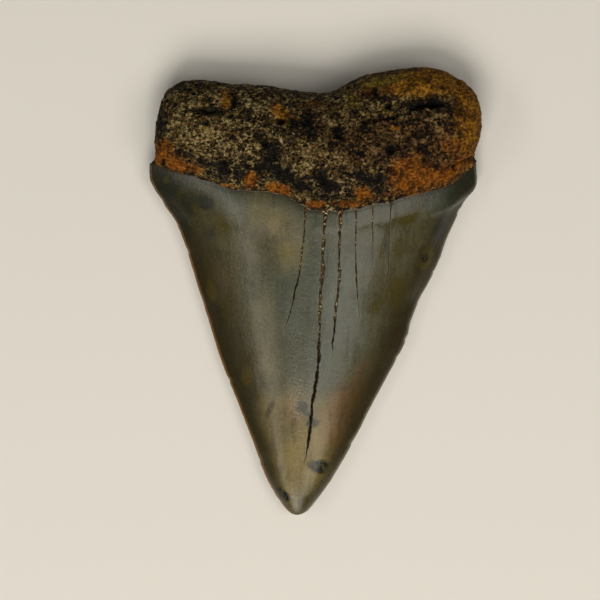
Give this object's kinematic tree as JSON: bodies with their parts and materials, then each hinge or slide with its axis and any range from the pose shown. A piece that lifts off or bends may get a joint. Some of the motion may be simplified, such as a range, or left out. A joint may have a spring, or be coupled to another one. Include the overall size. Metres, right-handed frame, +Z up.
{
  "type": "fossil mako shark tooth",
  "caption": "Fossil tooth of a broad-toothed mako shark: flat, pointed, smooth-edged enamelled crown with drying cracks, on a thick, rough, two-lobed root.",
  "frame": {"origin": "middle of the tooth's footprint, on the surface it lies on", "axes": "+Y from the tip towards the root, +X towards the taller root lobe, +Z up out of the domed lingual face"},
  "size_m": [0.0424, 0.0572, 0.0117],
  "materials": {
    "fossil_tooth": "glossy grey-olive mineralised enamel on the crown, dry brown and orange porous dentine on the root"
  },
  "bodies": {
    "root": {"tooth": "fossil_tooth"}
  },
  "joints": []
}
